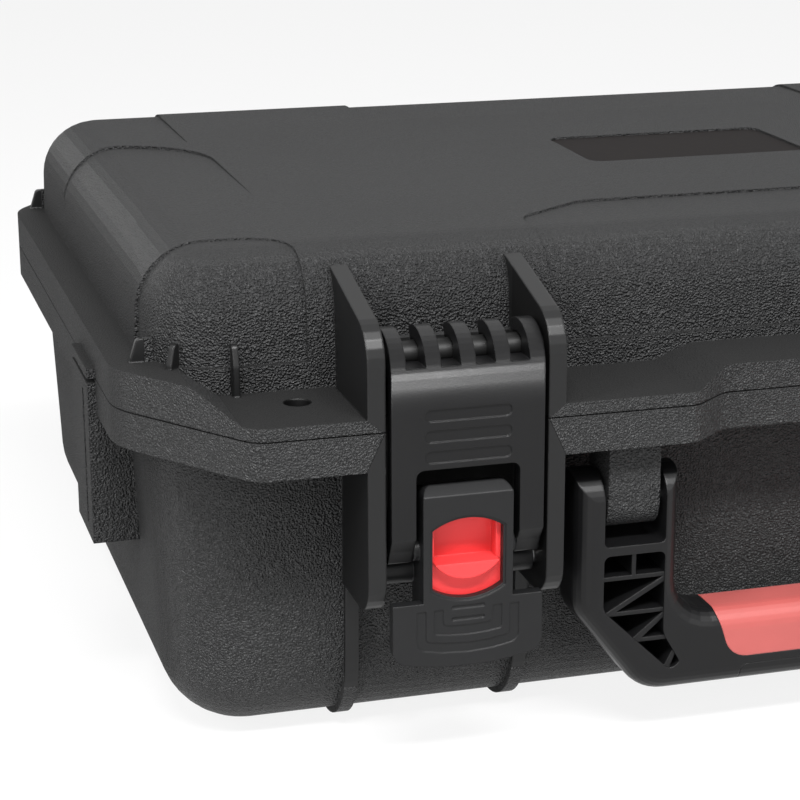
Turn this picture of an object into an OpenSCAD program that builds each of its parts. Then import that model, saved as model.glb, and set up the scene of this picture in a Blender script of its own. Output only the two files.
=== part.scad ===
// Hard case for a camera gimbal: a moulded base and lid on pinned hinges, two claw latches
// with push-button levers, a folding carry handle, a seal and cut foam inside.
// The origin is the middle of the case on the ground, +Z is up and the latches face -Y.

/* [Case] */
// Width over the rim, left to right
rim_w = 444; // [430:1:480]
// Depth over the latch and hinge parts of the rim, front to back
rim_d = 320; // [305:0.5:340]
// Height of the seam between base and lid above the ground
base_h = 105; // [98:0.5:125]
// Height of the lid's top above the seam, at the middle of the lid
lid_h = 45.1; // [44:0.1:60]
// Rise of the lid's top from front to back, in degrees
lid_slope = 0.7; // [0.5:0.1:1.5]
// Thickness of the shell walls
wall_t = 3.5; // [2.5:0.1:4.5]
// Gap between base and lid at the seam
seam_gap = 0.4; // [0.2:0.1:1]

/* [Base and lid walls] */
// How far the base wall stands in from the rim at the sides
base_side_in = 9.4; // [8.8:0.1:12]
// How far the base wall stands in from the rim at the front
base_front_in = 28; // [26.5:0.1:29.5]
// How far the base wall stands in from the rim at the back
base_back_in = 22.5; // [20:0.1:26]
// How far the lid wall stands in from the rim at the sides
lid_side_in = 8.9; // [7.5:0.1:12]
// How far the lid wall stands in from the rim at the front
lid_front_in = 34.8; // [33.5:0.1:37]
// How far the lid wall stands in from the rim at the back
lid_back_in = 26.5; // [25:0.1:30]
// Radius of the base's upright corners
base_corner_r = 29; // [28.5:0.5:34]
// Radius of the base's bottom edges
base_edge_r = 24; // [16:0.5:24]
// Lean of the base walls over their height
base_draft = 4.5; // [1:0.1:4.9]
// Radius of the lid's upright corners
lid_corner_r = 24; // [23.5:0.5:30]
// Radius of the lid's top edges
lid_edge_r = 20; // [14:0.5:20.5]
// Lean of the lid walls over their height
lid_draft = 2; // [1:0.1:3]
// Depth of the sunk panels on the lid's walls
panel_in = 1.2; // [0.6:0.1:1.8]

/* [Rim] */
// Height of the base's rim
rim_base_h = 11; // [9:0.1:13]
// Height of the lid's rim at the corners and sides
rim_lid_h = 12.1; // [10:0.1:14]
// Height of the lid's rim beside the latches
deck_h = 4.2; // [3:0.1:6]
// Height of the lid's rim in the middle of the front
rim_mid_h = 8.7; // [7:0.1:11]
// Width of the slanted rim corner
rim_corner_x = 32; // [28:0.5:36]
// Depth of the slanted rim corner
rim_corner_y = 45; // [38:0.5:50]
// Half width of the part of the rim between the latches that stands back
rim_mid_x = 48; // [42:0.5:50]
// How far that part stands back
rim_mid_in = 9.7; // [5:0.1:12]
// Sideways run of the step to that part
rim_mid_run = 12; // [8:0.5:16]
// Radius of the padlock holes
padlock_r = 3.85; // [3:0.05:4.5]

/* [Latches] */
// Gap between the handle and the latches
latch_gap = 6; // [5:0.1:10]
// Clear width between the two plates of a latch
bay_w = 47.6; // [46:0.1:52]
// Thickness of the plates
plate_t = 5.2; // [4:0.1:6.5]
// Depth of the bay between the plates, from the front of the rim
bay_d = 17; // [16:0.1:19]
// Length of the base's latch plates below the seam
plate_drop = 54.5; // [52:0.5:60]
// Width of the claw
claw_w = 44.8; // [43:0.1:45.2]
// Thickness of the claw's plate
claw_t = 4; // [3:0.1:4.4]
// How far the claw and lever stand out in front of the rim
latch_proud = 1.1; // [0.8:0.1:2]
// Number of fingers on the claw
finger_n = 5; // [3:1:7]
// Width of each finger
finger_w = 4.4; // [3:0.1:5]
// Width of each of the claw's legs
leg_w = 7.1; // [6:0.1:8]
// Width of the upper part of the lever
lever_w = 26.6; // [26.2:0.1:27.4]
// Width of the lever's foot
foot_w = 44.6; // [42:0.1:45.2]
// Thickness of the lever's face
face_t = 3; // [2.4:0.1:3.3]
// How far the button slides
button_travel = 3; // [2:0.1:3.4]
// Radius of the lever pins
lever_pin_r = 2; // [1.5:0.1:2.4]
// Radius of the claw pins
claw_pin_r = 1.6; // [1.2:0.1:2]

/* [Hinges] */
// Radius of the hinge pins
hinge_pin_r = 2; // [1.5:0.1:2.6]
// Radius of the hinge knuckles, which stand out behind the rim by this much
knuckle_r = 4; // [3.6:0.1:5]

/* [Handle] */
// Width of the handle
handle_w = 189; // [180:0.2:194]
// Width of each of the handle's arms
arm_w = 32.3; // [31:0.1:35]
// Width of the lug that carries each arm
lug_w = 16; // [13:0.1:17]
// Thickness of the handle, front to back
handle_d = 20; // [18:0.5:22]
// Drop of the handle's pivot below the seam
handle_pivot_drop = 30.5; // [29:0.5:32]
// Drop of the handle's lowest edge below the seam
handle_drop = 90.4; // [88:0.2:94]
// Height of the bar that the hand holds
bar_h = 24; // [22:0.2:27]
// Half length of the soft grip
grip_half = 49.5; // [42:0.5:52]
// Thickness of the soft grip
grip_t = 2.2; // [1.5:0.1:3]
// Half length of the cover under the bar
cover_half = 41.5; // [34:0.5:43]
// Radius of the handle pins
handle_pin_r = 2; // [1.5:0.1:3]

/* [Inside] */
// Thickness of the foam pad on the floor
pad_t = 20; // [10:1:30]
// Thickness of the lid's foam
lid_foam_t = 30; // [15:1:34]
// Foam left between the pockets
foam_web = 22; // [16:1:30]
// Foam left round the pockets
foam_side = 22; // [16:1:30]
// Width of the pocket for the folded gimbal
wide_w = 222; // [200:1:240]
// Width of the pocket for the grip
long_w = 300; // [270:1:310]
// Depth of the two front pockets
front_d = 64; // [50:1:80]
// Width of the seal
seal_w = 4; // [3:0.1:4.4]
// Height of the seal
seal_h = 3; // [2:0.1:3.6]

/* [Label] */
// Width of the label
label_w = 80.8; // [60:0.2:100]
// Depth of the label, front to back
label_d = 46; // [35:1:60]
// Depth of the recess that holds the label
label_in = 1.5; // [1:0.1:2]
// Thickness of the label plate
label_t = 0.8; // [0.4:0.1:0.9]

/* [Side brackets] */
// Length of the side bracket, front to back
bracket_l = 31; // [24:0.5:36]
// Height of the side bracket
bracket_h = 51; // [40:0.5:58]
// How far the bracket stands out beyond the rim
bracket_proud = 2.7; // [1.5:0.1:4]
// Distance of the bracket's middle behind the front of the rim
bracket_v = 92.5; // [80:0.5:120]

/* [Hidden] */
$fn = 64;
eps = 0.01;
pin_gap = 0.05;
soft_gap = 0.3;
hinge_gap = 0.6;
front = (latch_proud - rim_d - hinge_gap - knuckle_r) / 2;
back = front + rim_d;
hinge_y = back + hinge_gap;

shell_color = "#3a3b3d";
satin_color = "#2b2c2e";
lever_color = "#333436";
red_color = "#d9383a";
steel_color = "#b8babd";
foam_color = "#1e1f21";

foot_h = 2;
rib_w = 4.2;
base_half_x = rim_w / 2 - base_side_in;
base_half_y = (rim_d - base_front_in - base_back_in) / 2;
base_y = front + base_front_in + base_half_y;
lid_half_x = rim_w / 2 - lid_side_in;
lid_half_y = (rim_d - lid_front_in - lid_back_in) / 2;
lid_y = front + lid_front_in + lid_half_y;
lid_sunk = 7;

latch_x = handle_w / 2 + latch_gap + plate_t + bay_w / 2;
plate_x = bay_w / 2 + plate_t / 2;
plate_out = latch_x + plate_x + plate_t / 2;
eye_x = latch_x + plate_x + 17;
eye_y = front + base_front_in - padlock_r - 1.6;
leg_x = claw_w / 2 - leg_w / 2;
lever_pin_v = 12.5;
lever_pin_drop = 45;
claw_pin_v = 5;
claw_pin_drop = 37;
claw_front = 0.3 - latch_proud;
claw_top_r = 12.1;
claw_top_v = claw_front + claw_top_r;
claw_top_z = 15;
keeper_r = 3.9;
keeper_z = claw_top_z + claw_top_r - claw_t - keeper_r - 0.4;
keeper_v = claw_top_v + 0.5;
barrel_r = 4.2;
barrel_w = bay_w - 2;

knuckle_w = bay_w - 1;

arm_x = handle_w / 2 - arm_w / 2;
prong_out = 8.2;
prong_in = 4.9;
fork_w = arm_w - prong_out - prong_in;
lug_x = handle_w / 2 - prong_out - fork_w / 2;
handle_v = 14;
grip_front = handle_v - handle_d / 2;

// Unit vector along v
function unit(v) = v / norm(v);

// Points of one corner p of an outline between a and b, rounded to radius r
function corner(a, p, b, r, n = 6) =
    r == 0 ? [p] :
    let (
        u = unit(a - p),
        v = unit(b - p),
        half = acos(u * v) / 2,
        s = p + u * r / tan(half),
        e = p + v * r / tan(half),
        c = p + unit(u + v) * r / sin(half),
        a0 = atan2(s[1] - c[1], s[0] - c[0]),
        a1 = atan2(e[1] - c[1], e[0] - c[0]),
        sweep = (a1 - a0 + 540) % 360 - 180
    )
    [for (i = [0:n]) c + r * [cos(a0 + sweep * i / n), sin(a0 + sweep * i / n)]];

// Outline through the points, each corner rounded to its own radius
function rounded(points, radii, steps = 6) =
    let (n = len(points))
    [for (i = [0:n - 1])
        each corner(points[(i + n - 1) % n], points[i], points[(i + 1) % n], radii[i], steps)];

// Points of an arc about x and y, from the angle a0 to a1
function arc(x, y, r, a0, a1, steps) =
    [for (i = [0:steps]) let (a = a0 + (a1 - a0) * i / steps) [x + r * cos(a), y + r * sin(a)]];

// Outline with its sides moved inwards by t; the points run counter-clockwise
function inset(points, t) =
    let (n = len(points))
    [for (i = [0:n - 1])
        let (
            a = unit(points[i] - points[(i + n - 1) % n]),
            b = unit(points[(i + 1) % n] - points[i]),
            na = [-a[1], a[0]],
            nb = [-b[1], b[0]]
        )
        points[i] + t * (na + nb) / (1 + na * nb)];

// Slab of an outline drawn in x and z, with its edges rounded to r at y0 and y1. It reaches 1 mm
// past both. The radii of the outline's corners are negative where it bends inwards
module soft_slab(points, radii, y0, y1, r) {
    k = 6;
    turn = concat([0], [for (i = [0:k]) 90 * i / k]);
    near = [for (i = [0:k + 1]) i == 0 ? -1 : r - r * cos(turn[i])];
    depth = concat(near, [for (i = [k + 1:-1:0]) y1 - y0 - near[i]]);
    in = [for (a = turn) r - r * sin(a)];
    shift = concat(in, [for (i = [k + 1:-1:0]) in[i]]);
    last = 2 * k + 3;
    rings = [for (i = [0:last])
        [for (q = rounded(inset(points, shift[i]), [for (c = radii) c == 0 ? 0 : abs(c - shift[i])]))
            [q[0], y0 + depth[i], q[1]]]];
    m = len(rings[0]);
    polyhedron(
        [for (ring = rings) each ring],
        concat(
            [[for (j = [m - 1:-1:0]) j]],
            [for (i = [0:last - 1], j = [0:m - 1])
                [i * m + j, i * m + (j + 1) % m, (i + 1) * m + (j + 1) % m, (i + 1) * m + j]],
            [[for (j = [0:m - 1]) last * m + j]]),
        convexity = 6);
}

// Copies a shape to both ends of an axis
module both(axis) {
    children();
    mirror(axis) children();
}

// Rounded rectangle with its middle at the origin
module soft_square(w, h, r) {
    square([w - 2 * r, h], center = true);
    square([w, h - 2 * r], center = true);
    for (x = [-1, 1], y = [-1, 1])
        translate([x * (w / 2 - r), y * (h / 2 - r)]) circle(r);
}

// Extrudes an outline drawn in Y and Z along X, about the plane x = 0
module across(w) {
    rotate([90, 0, 90]) linear_extrude(w, center = true) children();
}

// Extrudes an outline drawn in X and Z along Y, from y0 to y1
module along_y(y0, y1) {
    translate([0, y1, 0]) rotate([90, 0, 0]) linear_extrude(y1 - y0) children();
}

// Cylinder along X
module rod(r, w) {
    rotate([0, 90, 0]) cylinder(r = r, h = w, center = true);
}

// Half of a wall's cross-section: it leans in by draft over h and has its top edge rounded to
// edge_r. x = 0 is the axis of the corner and r the radius of the corner at the foot
module wall_profile(r, h, draft, edge_r) {
    lean = atan(draft / h);
    cx = r - draft / h * (h - edge_r) - edge_r / cos(lean);
    polygon(concat([[0, 0], [r, 0]], arc(cx, h - edge_r, edge_r, lean, 90, 10), [[0, h]]));
}

// Full cross-section between two such walls
module tray_section(half, r, h, draft, edge_r) {
    both([1, 0, 0]) translate([half - r, 0]) wall_profile(r, h, draft, edge_r);
    translate([-(half - r) - eps, 0]) square([2 * (half - r + eps), h]);
}

// Upside-down tray: a solid with leaning walls, round corners and a rounded top edge
module tray(half_x, half_y, r, h, draft, edge_r) {
    along_y(r - half_y, half_y - r) tray_section(half_x, r, h, draft, edge_r);
    rotate([90, 0, 90])
        linear_extrude(2 * (half_x - r), center = true) tray_section(half_y, r, h, draft, edge_r);
    for (x = [-1, 1], y = [-1, 1])
        translate([x * (half_x - r), y * (half_y - r), 0])
            rotate_extrude() wall_profile(r, h, draft, edge_r);
}

// Left half of the rim's outline towards the front or, with side = -1, towards the back
function rim_half(y, side) =
    let (w = rim_w / 2)
    rounded(
        [[eps, -side * eps], [-w, -side * eps], [-w, y + side * rim_corner_y], [rim_corner_x - w, y],
            [-rim_mid_x - rim_mid_run, y], [-rim_mid_x, y + side * rim_mid_in],
            [eps, y + side * rim_mid_in]],
        [0, 0, 24, 9, 6, 8, 0]);

// Outline of the rim as seen from above
module rim_outline() {
    both([1, 0, 0]) {
        polygon(rim_half(front, 1));
        polygon(rim_half(back, -1));
    }
}

// Places a shape at both latches; the plates' middle planes lie at x = 0 of each
module at_latches() {
    for (x = [-latch_x, latch_x]) translate([x, 0, 0]) children();
}

// Moves a shape whose y is measured back from the front of the rim, and whose z is measured
// from the seam, to its place in the case
module from_seam() {
    translate([0, front, base_h]) children();
}

module padlock_hole(side) {
    translate([side * eye_x, eye_y, base_h])
        cylinder(r = padlock_r, h = 2 * (rim_base_h + rim_lid_h), center = true);
}

// Block of the lid's rim round a padlock hole, which is a node of its own
module eye_space(side) {
    translate([side * eye_x - 9, eye_y - padlock_r - 4, base_h])
        cube([18, 2 * padlock_r + 5, rim_lid_h + 1]);
}

// Round a padlock hole the lid's rim is a level slab
module lid_eye(side) {
    color(shell_color)
        difference() {
            intersection() {
                translate([0, 0, base_h + seam_gap]) linear_extrude(deck_h - seam_gap) rim_outline();
                eye_space(side);
            }
            padlock_hole(side);
            seal_groove();
        }
}

module lid_eye_left() lid_eye(-1);
module lid_eye_right() lid_eye(1);

// Stretch from x0 to x1 of the base's front rim, which is made of nodes of its own
module front_band(x0, x1) {
    translate([x0, front - 5, base_h - rim_base_h])
        cube([x1 - x0, base_front_in + 5 - 0.6, rim_base_h + 1]);
}

// Rim with the padlock hole, from the outer latch plate to the case's corner
module base_eye(side) {
    color(shell_color)
        difference() {
            intersection() {
                base_body();
                if (side < 0) front_band(-rim_w, -plate_out);
                else front_band(plate_out, rim_w);
            }
            padlock_hole(side);
        }
}

module base_eye_left() base_eye(-1);
module base_eye_right() base_eye(1);

module base_rim() {
    color(shell_color)
        intersection() {
            base_body();
            front_band(-plate_out, plate_out);
        }
}

// Base

// The base's outer form, or its hollow when the wall is taken off by inset
module base_form(inset) {
    translate([0, base_y, base_h])
        mirror([0, 0, 1])
            tray(base_half_x - inset, base_half_y - inset, base_corner_r - inset,
                base_h - foot_h - inset, base_draft, base_edge_r - inset);
}

// Side view of a plate of the base that reaches d back from the rim's edge
module base_plate_profile(d) {
    polygon(rounded([[0, 0], [0, -plate_drop], [d, -plate_drop], [d, 0]], [0, 9.5, 0, 0]));
}

// Foot rails: thin ribs down the wall, under the floor and up the back
module foot_rails() {
    w = base_half_y + foot_h;
    r = base_edge_r + foot_h;
    translate([0, base_y, base_h])
        for (x = [-1, 1])
            at_latches()
                translate([x * plate_x, 0, 0])
                    across(rib_w)
                        polygon(rounded(
                            [[w, 0], [w - base_draft, -base_h], [base_draft - w, -base_h], [-w, 0]],
                            [0, r, r, 0], 12));
}

// Lug that a handle arm hangs on
module handle_lug(side) {
    color(shell_color)
        from_seam()
            translate([side * lug_x, handle_v, 0])
                difference() {
                    across(lug_w) {
                        translate([0, -handle_pivot_drop]) circle(8);
                        translate([-8, -handle_pivot_drop]) square([16, handle_pivot_drop - rim_base_h]);
                    }
                    translate([0, 0, -handle_pivot_drop]) rod(handle_pin_r + pin_gap, lug_w + 1);
                }
}

module handle_lug_left() handle_lug(-1);
module handle_lug_right() handle_lug(1);

// Strap bracket on the side wall, with an upright slot near its front
module side_bracket() {
    reach = rim_w / 2 + bracket_proud;
    inner = base_half_x - base_draft - 2;
    translate([0, front + bracket_v, base_h - 1 - bracket_h])
        difference() {
            translate([-reach, -bracket_l / 2, 0]) cube([reach - inner, bracket_l, bracket_h]);
            translate([-reach - 1, -bracket_l / 2 + 8, 4]) cube([9, 3, bracket_h - 8]);
        }
}

module base_shell() {
    color(shell_color)
        difference() {
            base_body();
            front_band(-rim_w, rim_w);
        }
    color(shell_color) base_knuckles();
}

module base_body() {
    difference() {
        union() {
            base_form(0);
            translate([0, 0, base_h - rim_base_h]) linear_extrude(rim_base_h) rim_outline();
            from_seam()
                at_latches()
                    both([1, 0, 0])
                        translate([plate_x, 0, 0])
                            across(plate_t) base_plate_profile(base_front_in + 4);
            at_latches()
                both([1, 0, 0])
                    translate([plate_x, back, base_h])
                        mirror([0, 1, 0]) across(plate_t) base_plate_profile(base_back_in + 4);
            foot_rails();
            both([1, 0, 0]) side_bracket();
        }
        base_form(wall_t);
        base_cuts();
    }
}

module base_cuts() {
    from_seam()
        at_latches() {
            translate([-bay_w / 2, -1, -rim_base_h - 1]) cube([bay_w, bay_d + 1, rim_base_h + 2]);
            translate([0, lever_pin_v, -lever_pin_drop]) rod(lever_pin_r + pin_gap, bay_w + 2 * plate_t - 2);
        }
    at_latches() {
        translate([-bay_w / 2 - plate_t - 0.4, hinge_y - knuckle_r - 2, base_h - rim_base_h - 1])
            cube([bay_w + 2 * plate_t + 0.8, knuckle_r + 3, rim_base_h + 2]);
    }
}

// Long knuckle of the base between the lid's two, on a web from the rim
module base_knuckles() {
    at_latches()
        translate([0, hinge_y, base_h])
            difference() {
                union() {
                    rod(knuckle_r, knuckle_w);
                    translate([-knuckle_w / 2, -knuckle_r - 2 - eps, -rim_base_h])
                        cube([knuckle_w, 2 + eps, rim_base_h - seam_gap]);
                    across(knuckle_w)
                        polygon([[-knuckle_r - 2, -rim_base_h], [-knuckle_r - 2, -seam_gap],
                            [0, -seam_gap], [knuckle_r * cos(-30), knuckle_r * sin(-30)]]);
                }
                rod(hinge_pin_r + pin_gap, knuckle_w + 1);
            }
}

module hinge_pin(x) {
    color(steel_color)
        translate([x, hinge_y, base_h]) rod(hinge_pin_r, bay_w + 2 * plate_t - 2);
}

module hinge_pin_left() hinge_pin(-latch_x);
module hinge_pin_right() hinge_pin(latch_x);

// Lid

// Level tray whose top lies h above the seam, with its walls stood in by inset
module lid_level(h, inset) {
    translate([0, lid_y, base_h - lid_sunk])
        tray(lid_half_x - inset, lid_half_y - inset, lid_corner_r - inset, h + lid_sunk,
            lid_draft, lid_edge_r - inset);
}

// Tilts a shape that is drawn about the lid's middle at the seam
module tilt() {
    translate([0, lid_y, base_h]) rotate([lid_slope, 0, 0]) children();
}

// The lid's main form, whose top rises towards the back
module lid_main() {
    tilt() translate([0, -lid_y, -base_h]) lid_level(lid_h, 0);
}

// Height of the sloped top above the seam, at v behind the front of the rim
function top_at(v) = lid_h + (v + front - lid_y) * tan(lid_slope);

front_level = top_at(10);
side_level = top_at(118);
back_level = top_at(196);
side_panel_v = 62;
side_step_v = 215;
band_x = latch_x + 37;
mid_panel_x = latch_x - 37;
mid_panel_v = 84;

// Outlines of the sunk panels on the left half, seen from above, with y behind the rim's front
module front_panels() {
    polygon(rounded(
        [[-rim_w, -20], [-band_x, -20], [-band_x, side_panel_v], [-rim_w, side_panel_v]],
        [0, 0, 16, 0]));
    polygon(rounded(
        [[-mid_panel_x, -20], [eps, -20], [eps, mid_panel_v], [-mid_panel_x + 26, mid_panel_v],
            [-mid_panel_x, mid_panel_v - 18]],
        [0, 0, 0, 12, 12]));
}

module side_panel() {
    polygon(rounded(
        [[-rim_w, side_panel_v], [-latch_x - 34, side_panel_v], [-latch_x - 34, side_step_v],
            [-rim_w, side_step_v]],
        [0, 56, 34, 0], 12));
}

module back_panels() {
    polygon([[-rim_w, side_step_v], [-band_x, side_step_v], [-band_x, rim_d + 20], [-rim_w, rim_d + 20]]);
    polygon([[-mid_panel_x, side_step_v + 24], [eps, side_step_v + 24], [eps, rim_d + 20],
        [-mid_panel_x, rim_d + 20]]);
}

// What a sunk panel takes off the lid's main form
module panel_cut(level, inset) {
    difference() {
        translate([0, front, base_h + rim_lid_h])
            linear_extrude(lid_h) both([1, 0, 0]) children();
        lid_level(level, inset);
    }
}

module lid_body() {
    difference() {
        lid_main();
        panel_cut(front_level, panel_in) front_panels();
        panel_cut(side_level, panel_in / 2) side_panel();
        panel_cut(back_level, panel_in / 2) back_panels();
        translate([-rim_w, -rim_d, base_h - 30]) cube([2 * rim_w, 2 * rim_d, 30 + seam_gap]);
    }
}

// Side view of a lid latch plate: sloped from the lid's shoulder to the front of the rim
module lid_plate_profile() {
    polygon(rounded(
        [[0, 0], [0, 28.2], [41, 38.9], [43, 36], [60, 36], [60, 0]],
        [0, 12, 0.6, 0, 0, 0]));
}

// The rim of the lid: low beside the latches, with slanted steps
module lid_rim() {
    w = rim_w / 2;
    difference() {
        translate([0, 0, base_h]) linear_extrude(rim_lid_h) rim_outline();
        translate([0, 0, base_h])
            along_y(-rim_d, rim_d)
                both([1, 0, 0])
                    polygon([[rim_corner_x - 14 - w, rim_lid_h + eps], [rim_corner_x - 3 - w, deck_h],
                        [-rim_mid_x - rim_mid_run, deck_h], [-rim_mid_x, rim_mid_h],
                        [eps, rim_mid_h], [eps, rim_lid_h + eps]]);
    }
}

module lid_shell() {
    color(shell_color)
    difference() {
        union() {
            difference() {
                union() {
                    lid_rim();
                    lid_body();
                    lid_plates();
                    from_seam() keepers();
                    bracket_caps();
                    fins();
                }
                lid_cuts();
            }
            lid_knuckles();
        }
        at_latches()
            translate([0, hinge_y, base_h]) rod(hinge_pin_r + pin_gap, bay_w + 2 * plate_t - 2);
    }
}

module lid_plates() {
    at_latches()
        both([1, 0, 0]) {
            translate([plate_x, front, base_h]) across(plate_t) lid_plate_profile();
            translate([plate_x, back, base_h]) mirror([0, 1, 0]) across(plate_t) lid_plate_profile();
        }
}

// The two outer knuckles of each hinge
module lid_knuckles() {
    at_latches()
        both([1, 0, 0]) translate([plate_x, hinge_y, base_h]) rod(knuckle_r, plate_t);
}

// The bar of each latch that its claw hooks over, with the web that carries it
module keepers() {
    at_latches() {
        translate([0, keeper_v, keeper_z]) rod(keeper_r, bay_w + 2);
        translate([-bay_w / 2 - 1, keeper_v, keeper_z - keeper_r])
            cube([bay_w + 2, lid_front_in - keeper_v + 2, 3]);
    }
}

// Thin fins that stiffen the corners of the lid's rim; each is x, y and heading of its foot
FINS = [[-lid_half_x, -lid_half_y + 15, 180], [-lid_half_x + 8.5, -lid_half_y + 5.5, 225],
    [-lid_half_x + 25, -lid_half_y, 270], [-lid_half_x, lid_half_y - 15, 180]];

module fins() {
    translate([0, lid_y, base_h])
        both([1, 0, 0])
            for (f = FINS)
                translate([f[0], f[1], 0])
                    rotate(f[2] - 90)
                        across(1.8)
                            polygon(rounded([[-4, 0], [2.6, 0], [2.6, rim_lid_h + 1],
                                [0.6, rim_lid_h + 7], [-4, rim_lid_h + 7]], [0, 0, 3, 1.5, 0]));
}

// Small ribs on the lid's rim above the side brackets
module bracket_caps() {
    both([1, 0, 0])
        translate([-rim_w / 2 - bracket_proud, front + bracket_v - bracket_l / 2, base_h + seam_gap])
            cube([bracket_proud + 2, bracket_l, 3]);
}

module lid_cuts() {
    lid_cavity(0);
    translate([-rim_w, -rim_d, base_h - 1]) cube([2 * rim_w, 2 * rim_d, 1 + seam_gap]);
    from_seam()
        at_latches()
            translate([-bay_w / 2, -1, -1]) cube([bay_w, bay_d + 1, rim_lid_h + 2]);
    at_latches()
        translate([-bay_w / 2, hinge_y - knuckle_r - 2.5, base_h - 1])
            cube([bay_w, 2 * knuckle_r + 4, rim_lid_h + 2]);
    for (side = [-1, 1]) eye_space(side);
    seal_groove();
    label_place() translate([0, 0, -label_in]) linear_extrude(label_in + 1) soft_square(label_w, label_d, 5);
}

module lid_cavity(inset) {
    translate([0, lid_y, base_h - 1])
        tray(lid_half_x - wall_t - inset, lid_half_y - wall_t - inset,
            lid_corner_r - wall_t - inset, front_level - wall_t + 1 - inset, lid_draft,
            lid_edge_r - wall_t - inset);
}

// The sloped plane of the lid's top
module label_place() {
    tilt() translate([0, 0, lid_h]) children();
}

module label_plate() {
    color("#231a18")
        label_place()
            translate([0, 0, -label_in]) linear_extrude(label_t) soft_square(label_w - 0.6, label_d - 0.6, 4.7);
}

module seal_groove() {
    seal_ring(seal_w + 0.2, seal_h + 0.1, 0);
}

// Ring in the rim's underside, clear of the padlock holes
module seal_ring(w, h, lift) {
    half_x = lid_half_x - wall_t + 0.8 + seal_w / 2;
    half_y = base_half_y - wall_t + 0.3 + seal_w / 2;
    translate([0, base_y, base_h + lift])
        linear_extrude(h)
            difference() {
                soft_square(2 * half_x + w, 2 * half_y + w, base_corner_r + w / 2);
                soft_square(2 * half_x - w, 2 * half_y - w, base_corner_r - w / 2);
            }
}

module seal() {
    color("#101113") seal_ring(seal_w, seal_h - 0.1, 0.1);
}

// Foam

// The part of the base's hollow between two heights above the ground, shrunk by inset
module base_fill(inset, z0, z1) {
    intersection() {
        base_form(wall_t + inset);
        translate([-rim_w, -rim_d, z0]) cube([2 * rim_w, 2 * rim_d, z1 - z0]);
    }
}

pad_top = foot_h + wall_t + soft_gap + pad_t;
foam_top = base_h - 2;
pocket_x = base_half_x - base_draft - wall_t - foam_side;
pocket_y = base_half_y - base_draft - wall_t - foam_side;
back_d = 2 * pocket_y - front_d - foam_web;
square_w = 2 * pocket_x - wide_w - foam_web;
small_w = 2 * pocket_x - long_w - foam_web;
// Pockets in the foam tray, each as left, front, width and depth
POCKETS = [
    [-pocket_x, pocket_y - back_d, wide_w, back_d],
    [pocket_x - square_w, pocket_y - back_d, square_w, back_d],
    [-pocket_x, -pocket_y, long_w, front_d],
    [pocket_x - small_w, -pocket_y, small_w, front_d]];

module foam_pad() {
    color(foam_color) base_fill(soft_gap, foot_h + wall_t, pad_top);
}

module foam_tray() {
    color(foam_color)
        difference() {
            base_fill(soft_gap, pad_top, foam_top);
            for (p = POCKETS)
                translate([p[0] + p[2] / 2, base_y + p[1] + p[3] / 2, pad_top - 1])
                    linear_extrude(foam_top) soft_square(p[2], p[3], 8);
        }
}

module lid_foam() {
    color(foam_color)
        difference() {
            lid_cavity(soft_gap);
            translate([-rim_w, -rim_d, base_h - 10])
                cube([2 * rim_w, 2 * rim_d, 10 + front_level - wall_t - lid_foam_t]);
        }
}

// Handle

bar_top = -handle_drop + bar_h;
arm_in = handle_w / 2 - arm_w;
fork_floor = -handle_pivot_drop - 11.7;
arm_slant = 22;
arm_slant_top = 28.4 - handle_drop;
bar_r = 6;

// Front view of the handle: two arms and the bar between them
module handle_body() {
    o = handle_w / 2;
    top = 2 - handle_pivot_drop + handle_d / 2;
    half = [[o - arm_slant, -handle_drop], [o, arm_slant_top], [o, top], [arm_in, top], [arm_in, bar_top]];
    soft_slab(
        concat(half, [for (i = [4:-1:0]) [-half[i][0], half[i][1]]]),
        [14, 10, 0, 0, -11, -11, 0, 0, 10, 14],
        grip_front, grip_front + handle_d, bar_r);
}

// Side view of the handle, round above the pivot
module handle_side() {
    r = handle_d / 2 + 0.3;
    a = acos(handle_d / 2 / r);
    polygon(concat(
        [[grip_front, -handle_drop - 5], [grip_front + handle_d, -handle_drop - 5]],
        arc(handle_v, -handle_pivot_drop, r, a, 180 - a, 16)));
}

// Space between the two prongs of an arm
module fork_gap() {
    along_y(grip_front - 1, grip_front + handle_d + 1)
        polygon(rounded(
            [[-lug_x - fork_w / 2, 0], [-lug_x - fork_w / 2, fork_floor], [-lug_x + fork_w / 2, fork_floor],
                [-lug_x + fork_w / 2, 0]],
            [0, 1.6, 1.6, 0]));
}

// Hollow in the front of an arm below the fork
module arm_window() {
    l = -lug_x - fork_w / 2;
    r = -lug_x + fork_w / 2;
    top = fork_floor - 2.8;
    low = -handle_drop;
    translate([0, grip_front - 1, 0])
        along_y(0, handle_d - 2)
            polygon(rounded(
                [[l, top], [r, top], [r, low + 19.4], [r + 5.6, low + 9.8], [r + 2.8, low + 7], [l, low + 28.4]],
                [2, 2, 8, 1, 2.6, 5]));
}

// Ribs across the window: level bars joined by slanting ones
module arm_ribs() {
    l = -lug_x - fork_w / 2 - 1;
    r = -lug_x + fork_w / 2 + 1;
    t = 1.3;
    low = -handle_drop;
    translate([0, grip_front + 0.8, 0])
        along_y(0, handle_d - 3.8) {
            translate([-lug_x - t / 2, low + 37.5]) square([t, 9]);
            for (z = [38, 26.8]) translate([l, low + z - t / 2]) square([fork_w + 2, t]);
            translate([l + 9, low + 17.2]) square([fork_w - 5, t]);
            polygon([[r, low + 38], [r, low + 36.2], [l + 3, low + 26.2], [l + 1, low + 26.8]]);
            polygon([[r, low + 26.8], [r, low + 25], [l + 12.4, low + 17.4], [l + 9.8, low + 17.8]]);
            polygon([[r + 5, low + 18.4], [r + 5, low + 16.6], [r + 1, low + 6], [r - 1.2, low + 6.6]]);
        }
}

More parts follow.
